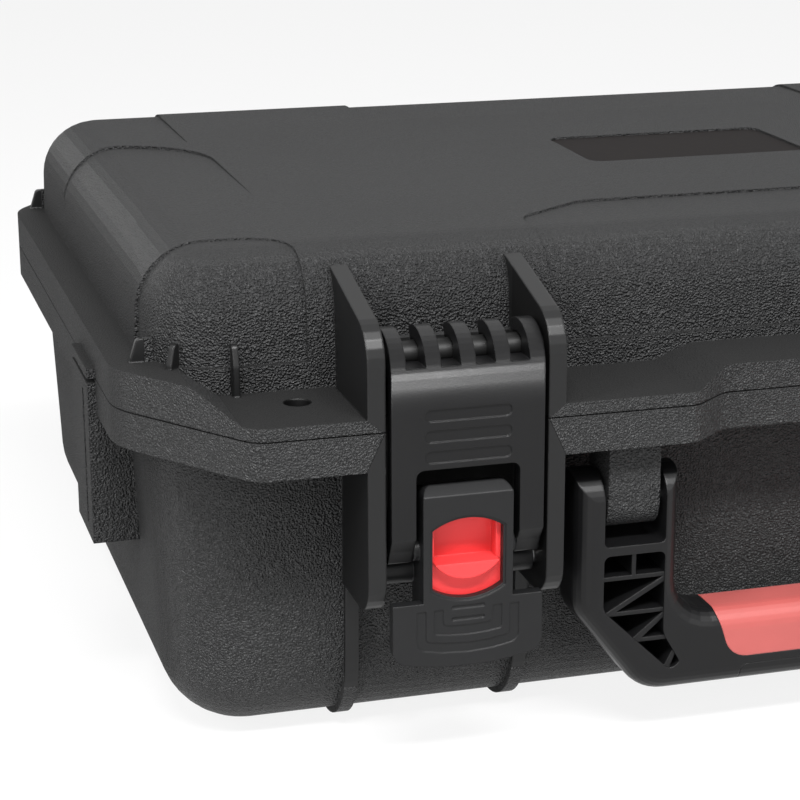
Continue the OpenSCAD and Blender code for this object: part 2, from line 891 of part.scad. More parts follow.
// Cross-section of the bar, as y and z, shrunk by t
module bar_section(t) {
    y0 = grip_front + t;
    y1 = grip_front + handle_d - t;
    r = bar_r - t;
    polygon(rounded(
        [[y0, bar_top - t], [y0, t - handle_drop], [y1, t - handle_drop], [y1, bar_top - t]],
        [r, r, r, r]));
}

// Front view of the grip, which has round lower corners
module grip_outline(gap) {
    w = grip_half + gap;
    low = -handle_drop + 9 - gap;
    polygon(rounded(
        [[-w, bar_top + 2], [-w, bar_top - 1], [4.5 - w, low], [w - 4.5, low], [w, bar_top - 1], [w, bar_top + 2]],
        [0, 4, 7.5, 7.5, 4, 0]));
}

// Space that the soft grip fills: round the top, front and back of the bar
module grip_space(gap) {
    intersection() {
        difference() {
            across(2 * grip_half + 4) bar_section(-1);
            across(2 * grip_half + 6) bar_section(grip_t + gap / 2);
        }
        along_y(-10, 50) grip_outline(gap / 2);
    }
}

// Front view of the cover that closes the bar from below
module cover_outline(gap) {
    w = cover_half + gap;
    top = -handle_drop + 6.4 + gap;
    polygon(rounded([[-w, -handle_drop - 1], [-w, top], [w, top], [w, -handle_drop - 1]], [0, 2.4, 2.4, 0]));
}

module handle_frame() {
    color(satin_color)
        from_seam()
            difference() {
                intersection() {
                    handle_body();
                    across(handle_w + 2) handle_side();
                }
                both([1, 0, 0]) {
                    fork_gap();
                    difference() {
                        arm_window();
                        arm_ribs();
                    }
                    translate([-lug_x, handle_v, -handle_pivot_drop])
                        rod(handle_pin_r + pin_gap, fork_w + 2 * prong_in - 1);
                }
                grip_space(0.1);
                along_y(0, handle_v + handle_d) cover_outline(0.1);
            }
}

module handle_grip() {
    color(red_color)
        from_seam()
            intersection() {
                grip_space(0);
                across(2 * grip_half + 2) bar_section(0);
            }
}

module handle_cover() {
    color(satin_color)
        from_seam()
            intersection() {
                along_y(0, handle_v + handle_d) cover_outline(0);
                across(2 * cover_half + 2) bar_section(0);
            }
}

module handle_pin(side) {
    color(steel_color)
        from_seam()
            translate([side * lug_x, handle_v, -handle_pivot_drop])
                rod(handle_pin_r, fork_w + 2 * prong_in - 1.4);
}

module handle_pin_left() handle_pin(-1);
module handle_pin_right() handle_pin(1);

// Latch

// Moves a shape drawn about one latch's middle to the left (-1) or right (1) latch
module latch(side) {
    from_seam() translate([side * latch_x, 0, 0]) children();
}

gap_w = (claw_w - finger_n * finger_w) / (finger_n - 1);
claw_cut_z = -11.6;
leg_inner = claw_w / 2 - leg_w;

// Side view of the claw's plate, which curls over the keeper at the top
module claw_hook_profile() {
    low = claw_cut_z - 3;
    inner_r = claw_top_r - claw_t;
    web = keeper_v - keeper_r - 0.4 - claw_top_v;
    polygon(concat(
        [[claw_front + claw_t, low], [claw_front, low]],
        arc(claw_top_v, claw_top_z, claw_top_r, 180, 60, 14),
        arc(claw_top_v, claw_top_z, inner_r, 60, acos(web / inner_r), 8),
        [[claw_top_v + web, claw_top_z], [claw_front + claw_t, claw_top_z]]));
}

// Side view of a leg of the claw
module claw_leg_profile() {
    f = claw_front;
    polygon(rounded(
        [[f, claw_cut_z + 1], [f, -31.8], [f + 2.6, -36], [claw_pin_v - 1, -40.4], [claw_pin_v + 2, -40.4],
            [claw_pin_v + 3.6, -35], [f + claw_t, -22], [f + claw_t, claw_cut_z + 1]],
        [0, 0.8, 1, 1.5, 2, 2, 6, 0]));
}

module claw(side) {
    color(satin_color)
        latch(side)
            difference() {
                union() {
                    across(claw_w) claw_hook_profile();
                    both([1, 0, 0]) translate([leg_x, 0, 0]) across(leg_w) claw_leg_profile();
                }
                // Gaps between the fingers
                for (i = [1:finger_n - 1])
                    translate([-claw_w / 2 + i * finger_w + (i - 1) * gap_w, claw_front - 1, claw_top_z + 3])
                        cube([gap_w, 2 * claw_top_r, 2 * claw_top_r]);
                // Cut-out for the lever
                along_y(claw_front - 1, claw_front + claw_t + 1)
                    translate([0, claw_cut_z - 10]) soft_square(2 * leg_inner, 20, 2.4);
                // Three shallow grooves
                along_y(claw_front - 1, claw_front + 0.5)
                    for (z = [4.1, -1.95, -8]) translate([0, z]) soft_square(claw_w - 19.4, 3.5, 1.6);
                translate([0, claw_pin_v, -claw_pin_drop]) rod(claw_pin_r + pin_gap, claw_w + 1);
            }
}

module claw_left() claw(-1);
module claw_right() claw(1);

// The two short pins that join a claw's legs to its lever
module claw_pins(side) {
    color(steel_color)
        latch(side)
            both([1, 0, 0])
                translate([(lever_w / 2 - 2.2 + claw_w / 2 - 0.3) / 2, claw_pin_v, -claw_pin_drop])
                    rod(claw_pin_r, claw_w / 2 - 0.3 - lever_w / 2 + 2.2);
}

module claw_pins_left() claw_pins(-1);
module claw_pins_right() claw_pins(1);

face = -latch_proud;
cheek_t = 2.2;
well_w = lever_w - 2 * cheek_t;
foot_top = -51.3;
foot_bottom = -71.4;
foot_r = 92;
window_top = -26.7;
window_bottom = -50.8;
window_r = 18.5;
housing_back = 10.2;
housing_floor = -62;
well_top = -22.5;

// The window for the button: flat sides with a curved top and bottom
module button_window(grow) {
    intersection() {
        square([21 + 2 * grow, 120], center = true);
        translate([0, window_top - window_r]) circle(window_r + grow);
        translate([0, window_bottom + window_r]) circle(window_r + grow);
    }
}

// Front view of the lever's foot: rounded corners and a gently curved lower edge
module foot_outline() {
    w = foot_w / 2;
    n = 8;
    polygon(rounded(
        concat([[w, foot_top], [-w, foot_top]],
            [for (i = [0:n]) let (x = w * (2 * i / n - 1)) [x, foot_bottom + foot_r - sqrt(foot_r ^ 2 - x ^ 2)]]),
        concat([0, 0, 4.5], [for (i = [2:n]) 0], [4.5])));
}

// Side view of the lever's cheeks, from the face back to the barrel
module cheek_profile() {
    polygon(rounded(
        [[face, -19.7], [2.5, -17], [housing_back, -19], [housing_back, housing_floor],
            [face + 1, housing_floor], [face, -52]],
        [0.4, 1, 2, 1.5, 0, 0]));
}

// One U-shaped channel of the foot's ornament, w wide outside, with a slightly curved lower side
module foot_band(w, bottom, r) {
    difference() {
        polygon(foot_u(w, bottom, r, 0));
        polygon(foot_u(w - 5.7, bottom + 3, 1, 1));
    }
}

function foot_u(w, bottom, r, rise) =
    let (s = w * w / 480, top = foot_top - 2.4 + rise)
    rounded(
        [[w / 2, top], [-w / 2, top], [-w / 2, bottom + s], [-w / 4, bottom + s / 4], [0, bottom],
            [w / 4, bottom + s / 4], [w / 2, bottom + s]],
        [0, 0, r, 0, 0, 0, r]);

module lever(side) {
    color(lever_color)
        latch(side)
            difference() {
                union() {
                    intersection() {
                        across(lever_w) cheek_profile();
                        along_y(face - 1, housing_back + 1)
                            polygon(rounded(
                                [[-lever_w / 2, housing_floor], [-lever_w / 2, -17], [lever_w / 2, -17],
                                    [lever_w / 2, housing_floor]],
                                [0, 3.4, 3.4, 0]));
                    }
                    along_y(face, face + face_t + 0.5) foot_outline();
                    translate([0, lever_pin_v, -lever_pin_drop]) rod(barrel_r, barrel_w);
                    translate([0, claw_pin_v, -claw_pin_drop]) rod(3, 2 * leg_inner - 0.4);
                }
                // Well for the button and its spring
                translate([-well_w / 2, face + face_t, housing_floor + 2])
                    cube([well_w, 40, well_top - housing_floor - 2]);
                along_y(face - 1, face + face_t + 1) button_window(0);
                along_y(face - 1, face + 0.5) button_window(0.7);
                // Ornament pressed into the foot
                along_y(face - 1, face + 0.35) {
                    foot_band(30.6, -67.3, 3);
                    foot_band(20.4, -61.9, 1);
                    for (z = [-53.3, -56.8]) translate([0, z]) soft_square(9.9, 1.1, 0.54);
                }
                translate([0, lever_pin_v, -lever_pin_drop]) rod(lever_pin_r + pin_gap, barrel_w + 1);
                translate([0, claw_pin_v, -claw_pin_drop]) rod(claw_pin_r + pin_gap, 2 * leg_inner + 1);
            }
}

module lever_left() lever(-1);
module lever_right() lever(1);

module lever_pin(side) {
    color(steel_color)
        latch(side)
            translate([0, lever_pin_v, -lever_pin_drop]) rod(lever_pin_r, bay_w + 2 * plate_t - 2.4);
}

module lever_pin_left() lever_pin(-1);
module lever_pin_right() lever_pin(1);

back_t = 1.6;

// Plate that closes the back of the lever's well and guides the button
module lever_back(side) {
    color(satin_color)
        latch(side)
            translate([-well_w / 2 + 0.1, housing_back - back_t - 0.2, housing_floor + 2.1])
                cube([well_w - 0.2, back_t, well_top - housing_floor - 2.2]);
}

module lever_back_left() lever_back(-1);
module lever_back_right() lever_back(1);

button_front = face + face_t + 0.3;
button_back = housing_back - back_t - 0.5;
button_top = well_top - 0.3;
button_bottom = housing_floor + 2 + 4 + button_travel;
ledge_z = -40.3;

module button(side) {
    color(red_color)
        latch(side)
            union() {
                difference() {
                    translate([-well_w / 2 + 0.2, button_front, button_bottom])
                        cube([well_w - 0.4, button_back - button_front, button_top - button_bottom]);
                    // Finger pocket above the ledge
                    translate([-9.2, button_front - 1, ledge_z])
                        cube([18.4, button_back - button_front - 0.4, -ledge_z - 20]);
                    // Seat of the spring
                    translate([0, (button_front + button_back) / 2, button_bottom - 1])
                        cylinder(r = spring_r + 0.2, h = 4);
                }
                // Ledge for the fingertip
                along_y(face + 0.7, button_front + eps)
                    intersection() {
                        translate([0, ledge_z - 4.8 + 12]) circle(12);
                        translate([-20, ledge_z - 10]) square([40, 10]);
                        square([19.6, 200], center = true);
                    }
            }
}

module button_left() button(-1);
module button_right() button(1);

spring_r = 2;

module button_spring(side) {
    color(steel_color)
        latch(side)
            translate([0, (button_front + button_back) / 2, housing_floor + 2])
                difference() {
                    cylinder(r = spring_r, h = button_bottom + 3 - housing_floor - 2);
                    translate([0, 0, -1]) cylinder(r = spring_r - 0.6, h = 30);
                }
}

module button_spring_left() button_spring(-1);
module button_spring_right() button_spring(1);

base_shell();
lid_shell();
base_rim();
base_eye_left();
base_eye_right();
lid_eye_left();
lid_eye_right();
handle_lug_left();
handle_lug_right();
seal();
label_plate();
foam_pad();
foam_tray();
lid_foam();
hinge_pin_left();
hinge_pin_right();
handle_frame();
handle_grip();
handle_cover();
handle_pin_left();
handle_pin_right();
claw_left();
claw_right();
claw_pins_left();
claw_pins_right();
lever_left();
lever_right();
lever_pin_left();
lever_pin_right();
lever_back_left();
lever_back_right();
button_left();
button_right();
button_spring_left();
button_spring_right();
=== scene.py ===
import math

import bpy
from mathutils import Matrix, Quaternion, Vector


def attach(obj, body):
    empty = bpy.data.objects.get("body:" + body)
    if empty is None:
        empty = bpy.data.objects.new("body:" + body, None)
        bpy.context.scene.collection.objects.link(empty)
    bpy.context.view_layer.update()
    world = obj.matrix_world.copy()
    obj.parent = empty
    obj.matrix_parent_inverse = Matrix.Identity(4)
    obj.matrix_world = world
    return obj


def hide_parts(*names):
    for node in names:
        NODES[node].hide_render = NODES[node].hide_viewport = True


bl_info = {
    "name": "Camera gimbal case",
    "version": (1, 0, 0),
    "blender": (4, 5, 0),
    "location": "View3D > Sidebar > Case",
    "description": "Finishes and soft pieces of a hard case with claw latches",
    "category": "Object",
}

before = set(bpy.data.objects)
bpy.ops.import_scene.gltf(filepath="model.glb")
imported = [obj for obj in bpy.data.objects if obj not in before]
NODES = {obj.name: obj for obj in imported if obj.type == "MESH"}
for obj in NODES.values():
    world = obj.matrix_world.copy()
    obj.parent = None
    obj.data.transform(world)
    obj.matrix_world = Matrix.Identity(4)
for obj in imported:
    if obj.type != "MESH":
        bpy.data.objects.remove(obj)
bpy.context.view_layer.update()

# Height of the seam and place of the rim's front, in metres
SEAM = 0.105
RIM_FRONT = -0.16175

# Places that the finishes follow, in millimetres: across from the case's middle, back from the
# rim's front, and up from the seam
# Middle of a latch, half the width between its plates, a plate's thickness, the outer plate's face
LATCH_X = 129.5
BAY_HALF = 23.8
PLATE = 5.2
PLATE_OUT = LATCH_X + BAY_HALF + PLATE
# How far the plates' mitre with the rim reaches above and below the seam
MITRE_UP = 4.2
MITRE_DOWN = 11.0
# Front walls: place at the seam and lean in millimetres per millimetre, then where the lid's wall
# starts to curve back and the radius of that curve
LID_WALL = 34.8
LID_LEAN = 0.044
BASE_WALL = 28.0
BASE_LEAN = -0.043
LID_CURVE_START = 25.0
LID_CURVE = 20.0
# Where the smooth finish and the painted shade of a latch bay end at the back and below
BAY_BACK = 33.0
BAY_FOOT = -50.0
# Middle of a padlock hole, and how far from there its smooth finish and painted shade reach and its
# edges look rounded
EYE_X = 172.9
EYE_BACK = 22.55
EYE_REACH = 4.1
EYE_EDGE = 5.2
# Block of the lid that holds the hole: half its width, its front and its back
EYE_HALF = 10.0
EYE_BLOCK = (13.0, 29.0)
# Foot and back of the base's front rim, which is a node of its own
BAND_FOOT = -11.0
BAND_BACK = 27.4
# Middle of the heights where the rim's level deck is painted darker as the shade under the lid's
# wall, and how far that reaches from there
DECK = 6.0
DECK_REACH = 9.0
# Feet of the thin fins on the lid's rim: across, back and heading in degrees
FINS = ((213.1, 49.8, 0), (204.6, 40.3, 315), (188.1, 34.8, 270), (213.1, 278.5, 0))
# How far the fins' finish reaches: up, to each side, then inwards and outwards from the foot. Each
# is a little more than the fin's own size, so that its edges lie within it
FIN_TOP = 19.6
FIN_HALF = 1.15
FIN_REACH = (-1.5, 3.0)
# Share of plain white in the floor that the camera sees, and the front lamp's share of the fill
FLOOR_WHITE = 0.86
FRONT_SHARE = 0.6
# Shade of the seal's rubber
SEAL_COLOUR = (0.09, 0.09, 0.095)
# Height on the claw where its face starts to lean back, and the run of that bend, from the floor
CLAW_BEND = 108.5
CLAW_BEND_RUN = 9.0


# Finishes


class Wire:
    """An output of a shader node that can be used in an expression."""

    def __init__(self, finish, socket):
        self.finish = finish
        self.socket = socket

    def maths(self, operation, *values):
        return self.finish.node("ShaderNodeMath", {"operation": operation}, dict(enumerate(values)))

    def __add__(self, other):
        return self.maths("ADD", self, other)

    __radd__ = __add__

    def __sub__(self, other):
        return self.maths("SUBTRACT", self, other)

    def __rsub__(self, other):
        return self.maths("SUBTRACT", other, self)

    def __mul__(self, other):
        return self.maths("MULTIPLY", self, other)

    __rmul__ = __mul__

    def __truediv__(self, other):
        return self.maths("DIVIDE", self, other)

    def __pow__(self, other):
        return self.maths("POWER", self, other)

    def __abs__(self):
        return self.maths("ABSOLUTE", self)

    def above(self, edge, soft):
        """0 below edge, 1 above it, with a soft step."""
        return self.finish.node(
            "ShaderNodeMapRange", {"interpolation_type": "SMOOTHSTEP"},
            {0: self, 1: edge - soft, 2: edge + soft})

    def below(self, edge, soft):
        """1 below edge, 0 above it, with a soft step."""
        return 1 - self.above(edge, soft)

    def near(self, middle, reach, soft):
        """1 within reach of a middle, 0 beyond it, with a soft step."""
        return abs(self - middle).below(reach, soft)

    def least(self, other):
        return self.maths("MINIMUM", self, other)

    def most(self, other):
        return self.maths("MAXIMUM", self, other)


class Finish:
    """A material that is built node by node."""

    def __init__(self, name):
        self.material = bpy.data.materials.new(name)
        self.material.use_nodes = True
        self.tree = self.material.node_tree
        self.shader = self.tree.nodes["Principled BSDF"]
        self.output = self.tree.nodes["Material Output"]

    def node(self, kind, settings=None, values=None, out=0):
        """Adds a node with its settings, then its values or links, and gives one of its outputs."""
        made = self.tree.nodes.new(kind)
        for key, value in (settings or {}).items():
            setattr(made, key, value)
        for key, value in (values or {}).items():
            self.plug(made.inputs[key], value)
        return Wire(self, made.outputs[out])

    def plug(self, socket, value):
        if isinstance(value, Wire):
            self.tree.links.new(value.socket, socket)
        elif isinstance(value, (tuple, Vector)) and socket.type == "RGBA":
            socket.default_value = (*value[:3], 1)
        else:
            socket.default_value = value

    def place(self):
        """Object coordinates."""
        return self.node("ShaderNodeTexCoord", out="Object")

    def parts(self, vector):
        """The three numbers of a vector."""
        first = self.node("ShaderNodeSeparateXYZ", None, {0: vector})
        return [Wire(self, output) for output in first.socket.node.outputs]

    def spot(self, place):
        """Millimetres across from the middle, back from the rim's front and up from the seam."""
        x, y, z = self.parts(place)
        return abs(x) * 1000, (y - RIM_FRONT) * 1000, (z - SEAM) * 1000

    def facing(self):
        """The surface's direction."""
        return self.node("ShaderNodeNewGeometry", out="Normal")

    def mix(self, share, first, second):
        """A colour between two colours."""
        return self.node(
            "ShaderNodeMix", {"data_type": "RGBA"}, {0: share, 6: first, 7: second}, 2)

    def noise(self, scale, detail, rough, place, warp=0.0):
        return self.node(
            "ShaderNodeTexNoise", None,
            {"Vector": place, "Scale": scale, "Detail": detail, "Roughness": rough,
             "Distortion": warp})

    def stretched(self, place, scale):
        """Coordinates with a scale of their own in each direction."""
        return self.node("ShaderNodeMapping", None, {"Vector": place, "Scale": scale})

    def soft_edges(self, radius):
        """Direction of the surface with its edges rounded to a radius in metres."""
        return self.node("ShaderNodeBevel", {"samples": 6}, {"Radius": radius})

    def shell_edges(self, radius):
        """The same, left plain where the front rim's pieces meet the rest of the shell."""
        x, v, h = self.spot(self.place())
        lid = h.above(0.2, 0.05)
        off_hole = from_hole(x, v).above(EYE_EDGE, 0.2)
        front, back = EYE_BLOCK
        eye = x.near(EYE_X, EYE_HALF, 0.2) * v.above(front, 0.2) * v.below(back, 0.2)
        beside = v.near(BAND_BACK, 1.0, 0.1).most(x.near(PLATE_OUT, 1.0, 0.1))
        plate = abs(x - LATCH_X).near(BAY_HALF + PLATE / 2, PLATE / 2 + 0.4, 0.1)
        seams = (beside * h.above(BAND_FOOT - 1.0, 0.1)).most(plate * h.near(BAND_FOOT, 1.0, 0.1))
        plain = (eye * lid).most(seams * (1 - lid)) * off_hole
        return self.node(
            "ShaderNodeMix", {"data_type": "VECTOR"},
            {0: plain, 4: self.soft_edges(radius), 5: self.facing()}, 1)

    def bump(self, height, depth, normal=None):
        """Normals of a height, whose distance is in metres."""
        values = {"Height": height, "Distance": depth, "Strength": 1.0}
        if normal:
            values["Normal"] = normal
        return self.node("ShaderNodeBump", None, values)

    def surface(self, **values):
        """Sets sockets of the shader; an underscore stands for a space."""
        for key, value in values.items():
            self.plug(self.shader.inputs[key.replace("_", " ")], value)
        return self.material


def colour(rgb):
    """A display colour as the shader's linear colour."""
    return tuple(c / 12.92 if c <= 0.04045 else ((c + 0.055) / 1.055) ** 2.4 for c in rgb)


def shade(rgb, share):
    """A linear colour made darker or lighter."""
    return tuple(min(1, c * share) for c in rgb)


def wear(f, place, scale):
    """Slow unevenness of a moulded surface, about 0.5."""
    return f.noise(scale, 3.0, 0.55, place)


def latch_plates(f, place):
    """1 on the smooth latch plates of base and lid, which meet the grained rim in a mitre."""
    x, v, h = f.spot(place)
    across = abs(x - LATCH_X) - BAY_HALF
    curve = (h - LID_CURVE_START).most(0.0)
    lid_wall = (LID_WALL + LID_CURVE - (LID_CURVE ** 2 - curve * curve).most(0.0) ** 0.5
                + h.least(LID_CURVE_START) * LID_LEAN)
    # The large factor makes a step at the seam: the base's wall below it, the lid's above it
    wall = lid_wall.least((h + 0.2) * 10000.0).most(h * BASE_LEAN + BASE_WALL) - 0.4
    reach = (h * (-1 / MITRE_DOWN)).most(h * (1 / MITRE_UP)).least(1.0) * PLATE
    inside = across.above(-0.4, 0.1) * (across - reach).below(0.3, 0.12)
    return inside * (wall - v).above(0.0, 0.15)


def from_hole(x, v):
    """Distance from the axis of a padlock hole, all in millimetres."""
    return ((x - EYE_X) ** 2.0 + (v - EYE_BACK) ** 2.0) ** 0.5


def corner_fins(f, place):
    """1 on the smooth fins at the corners of the lid's rim."""
    x, v, h = f.spot(place)
    height = h.above(0.0, 0.1) * h.below(FIN_TOP, 0.1)
    inner, outer = FIN_REACH
    fins = None
    for foot_x, foot_v, heading in FINS:
        cos, sin = math.cos(math.radians(heading)), math.sin(math.radians(heading))
        right, back = x - foot_x, v - foot_v
        out, aside = right * cos + back * sin, abs(right * -sin + back * cos)
        fin = aside.below(FIN_HALF, 0.1) * out.above(inner, 0.2) * out.below(outer, 0.2) * height
        fins = fin if fins is None else fins.most(fin)
    return fins


def smooth_latch_bays_painted_dark(f, place):
    """1 on the smooth inside of the latch bays, with the keeper bars, and of the padlock holes, all
    of which the shell also paints near black as shade.
    """
    x, v, h = f.spot(place)
    bay_and_painted_shade = (abs(x - LATCH_X) - BAY_HALF).below(0.3, 0.1) * v.below(BAY_BACK, 0.5)
    return (bay_and_painted_shade * h.above(BAY_FOOT, 2.0)).most(from_hole(x, v).below(EYE_REACH, 0.1))


def moulded_shell(settings):
    """Charcoal polypropylene: a leathery grain on the walls, a fine one on level tops, and
    smooth latch plates, latch bays and fins. Tops and ends are more matt than the front, and their
    colour is painted darker as shade; the rim's level deck, the latch bays and the padlock holes
    are painted darker as shade, and the grain's colour carries painted light and shade."""
    f = Finish("moulded_shell")
    place = f.place()
    side, _, up = f.parts(f.facing())
    level = up.above(0.86, 0.12)
    # Level tops and ends are more matt, and their colour is also painted darker as shade
    matt_and_painted_shade = level.most(abs(side).above(0.90, 0.12))
    # Painted shade: the latch bays, keeper bars and padlock holes are also made near black
    bay_and_painted_shade = smooth_latch_bays_painted_dark(f, place)
    smooth = latch_plates(f, place).most(bay_and_painted_shade).most(corner_fins(f, place))
    # Painted shade: the rim's level deck under the lid's wall is made much darker
    painted_deck_shade = level * f.spot(place)[2].near(DECK, DECK_REACH, 0.5)
    grain = f.noise(settings.grain_scale, 0.6, 0.4, place, 0.15)
    fine = f.noise(settings.fine_scale, 2.0, 0.6, place)
    height = (grain * (1 - level) + (fine * 0.12 + grain * 0.34) * level) * (1 - smooth)
    normal = f.bump(height, settings.grain_depth, f.shell_edges(settings.edge_radius))
    uneven = wear(f, place, 9.0)
    base = colour(settings.shell_colour)
    # Painted light and shade: the grain's crests are lighter and its hollows darker, mixed with the
    # slow unevenness of the moulding
    unevenness_and_crest_light = (uneven * 0.3 + grain * 0.8 - 0.05).above(0.5, 0.22)
    tone = f.mix(unevenness_and_crest_light, shade(base, 0.66), shade(base, 1.34))
    for mask, share in ((matt_and_painted_shade * 0.4, 0.55), (painted_deck_shade, 0.14), (smooth, 0.34), (bay_and_painted_shade, 0.06)):
        tone = f.mix(mask, tone, shade(base, share))
    grained = 0.48 + matt_and_painted_shade * 0.36 + (fine - 0.5) * 0.16
    satin = 0.36 + bay_and_painted_shade * 0.12 + (uneven - 0.5) * 0.05
    rough = grained * (1 - smooth) + satin * smooth
    return f.surface(Base_Color=tone, Roughness=rough, Normal=normal, Specular_IOR_Level=0.30)


def curl(f, place):
    """Height of a front face that leans back more and more as the claw bends."""
    z = f.parts(place)[2] * 1000
    front = (f.parts(f.facing())[1] * -1).above(0.3, 0.2)
    rise = ((z - CLAW_BEND) / CLAW_BEND_RUN).most(0.0)
    past = (rise - 1.0).most(0.0)
    return (past * past - rise * rise) * 0.5 * front


def satin_plastic(name, tint, rough_level, settings, curled=False):
    """Smooth moulded plastic with a very fine spark texture."""
    f = Finish(name)
    place = f.place()
    fine = f.noise(2600.0, 2.0, 0.5, place)
    flow = wear(f, place, 26.0)
    normal = f.soft_edges(settings.edge_radius * 0.75)
    if curled:
        normal = f.bump(curl(f, place), 0.0058, normal)
    normal = f.bump(fine, 0.00002, normal)
    base = colour(tint)
    tone = f.mix(flow.above(0.5, 0.3), shade(base, 0.88), shade(base, 1.12))
    rough = rough_level + (fine - 0.5) * 0.10 + (flow - 0.5) * 0.08
    return f.surface(Base_Color=tone, Roughness=rough, Normal=normal, Specular_IOR_Level=0.24)


def soft_rubber(name, tint):
    """Matt moulded rubber with a dusty sheen."""
    f = Finish(name)
    place = f.place()
    grain = f.noise(3400.0, 2.0, 0.6, place)
    flow = wear(f, place, 40.0)
    normal = f.bump(grain, 0.00003, f.soft_edges(0.0008))
    base = colour(tint)
    tone = f.mix(flow.above(0.5, 0.3), shade(base, 0.93), shade(base, 1.07))
    rough = 0.52 + (grain - 0.5) * 0.14
    return f.surface(Base_Color=tone, Roughness=rough, Normal=normal, Sheen_Weight=0.08)


def closed_foam(settings):
    """Charcoal closed-cell foam: small open pores, painted darker as shade in their hollows, and
    crumbs.
    """
    f = Finish("closed_foam")
    place = f.place()
    pores = f.node("ShaderNodeTexVoronoi", {"feature": "F1"}, {"Vector": place, "Scale": 620.0})
    crumbs = f.noise(1500.0, 3.0, 0.7, place)
    height = pores.above(0.35, 0.3) * 0.7 + crumbs * 0.5
    base = colour(settings.foam_colour)
    # Painted shade: the pores' hollows are darker
    tone = f.mix(pores.above(0.30, 0.25), shade(base, 0.55), shade(base, 1.25))
    return f.surface(
        Base_Color=tone, Roughness=0.93 - crumbs * 0.06, Normal=f.bump(height, 0.0003))


def turned_steel():
    """Plain steel pin with fine turning marks along its length."""
    f = Finish("turned_steel")
    place = f.place()
    marks = f.noise(1.0, 3.0, 0.6, f.stretched(place, (9000.0, 120.0, 120.0)))
    stain = wear(f, place, 160.0)
    tone = f.mix(stain, (0.46, 0.46, 0.47), (0.62, 0.62, 0.63))
    return f.surface(
        Base_Color=tone, Metallic=1.0, Roughness=0.24 + marks * 0.18,
        Normal=f.bump(marks, 0.00001))


def bare_plate(settings):
    """Dark matt plate with a faint brushed grain, left bare."""
    f = Finish("bare_plate")
    place = f.place()
    grain = f.noise(1.0, 3.0, 0.6, f.stretched(place, (260.0, 5200.0, 900.0)))
    base = colour(settings.label_colour)
    tone = f.mix(wear(f, place, 60.0), shade(base, 0.8), shade(base, 1.25))
    return f.surface(
        Base_Color=tone, Roughness=0.80 + grain * 0.12, Normal=f.bump(grain, 0.00001),
        Specular_IOR_Level=0.15)


def dress(material, *names):
    """Gives CAD nodes a material."""
    for name in names:
        mesh = NODES[name].data
        mesh.materials.clear()
        mesh.materials.append(material)


# Modelling helpers


def clear_selection():
    if bpy.context.object and bpy.context.object.mode != "OBJECT":
        bpy.ops.object.mode_set(mode="OBJECT")
    bpy.ops.object.select_all(action="DESELECT")


def make_active(piece):
    clear_selection()
    piece.select_set(True)
    bpy.context.view_layer.objects.active = piece


def merged_copy(node, name):
    """A new piece from a CAD node's mesh, with its loose triangles joined."""
    clear_selection()
    piece = bpy.data.objects.new(name, NODES[node].data.copy())
    bpy.context.scene.collection.objects.link(piece)
    make_active(piece)
    bpy.ops.object.mode_set(mode="EDIT")
    bpy.ops.mesh.select_all(action="SELECT")
    bpy.ops.mesh.remove_doubles(threshold=0.00001)
    bpy.ops.mesh.dissolve_limited(angle_limit=math.radians(1.0))
    bpy.ops.object.mode_set(mode="OBJECT")
    return piece


def soften(piece, width):
    """Bevels a piece's sharp edges and shades it smooth."""
    make_active(piece)
    bevel = piece.modifiers.new("soft_edges", "BEVEL")
    bevel.width = width
    bevel.segments = 3
    bevel.limit_method = "ANGLE"
    bevel.angle_limit = math.radians(30)
    bevel.use_clamp_overlap = True
    bpy.ops.object.modifier_apply(modifier=bevel.name)
    bpy.ops.object.shade_smooth_by_angle(angle=math.radians(40))


def finish_piece(piece, body, material, replaced):
    """Gives a foam piece its material and its body, and hides the CAD node that it stands for."""
    piece.data.materials.clear()
    piece.data.materials.append(material)
    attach(piece, body)
    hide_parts(replaced)


# Sizes and colours


def tint(label, text, value):
    """A colour that the panel shows."""
    return bpy.props.FloatVectorProperty(
        name=label, description=text, subtype="COLOR_GAMMA", size=3, default=value, min=0, max=1)


class CaseSettings(bpy.types.PropertyGroup):
    shell_colour: tint("Shell", "Colour of the moulded base and lid", (0.138, 0.139, 0.141))
    satin_colour: tint(
        "Claws and handle", "Colour of the claws and the handle", (0.055, 0.055, 0.058))
    lever_colour: tint("Levers", "Colour of the latch levers", (0.080, 0.081, 0.084))
    button_colour: tint("Buttons", "Colour of the release buttons", (0.795, 0.205, 0.21))
    grip_colour: tint("Grip", "Colour of the handle's soft grip", (0.60, 0.265, 0.25))
    foam_colour: tint("Foam", "Colour of the foam", (0.20, 0.20, 0.21))
    label_colour: tint("Label plate", "Colour of the bare plate on the lid", (0.030, 0.016, 0.014))
    edge_radius: bpy.props.FloatProperty(
        name="Edge radius", description="Radius that moulded edges catch the light with",
        unit="LENGTH", default=0.0009, min=0.0, max=0.003)
    grain_scale: bpy.props.FloatProperty(
        name="Grain scale", description="Grains of the wall texture per metre",
        default=1750.0, min=100, max=4000)
    grain_depth: bpy.props.FloatProperty(
        name="Grain depth", description="Depth of the wall grain",
        unit="LENGTH", default=0.0017, min=0.0, max=0.004)
    fine_scale: bpy.props.FloatProperty(
        name="Fine scale", description="Grains of the fine texture per metre",
        default=2400.0, min=500, max=6000)
    foam_edge: bpy.props.FloatProperty(
        name="Foam edge", description="Radius of the foam's cut edges",
        unit="LENGTH", default=0.0012, min=0.0, max=0.004)


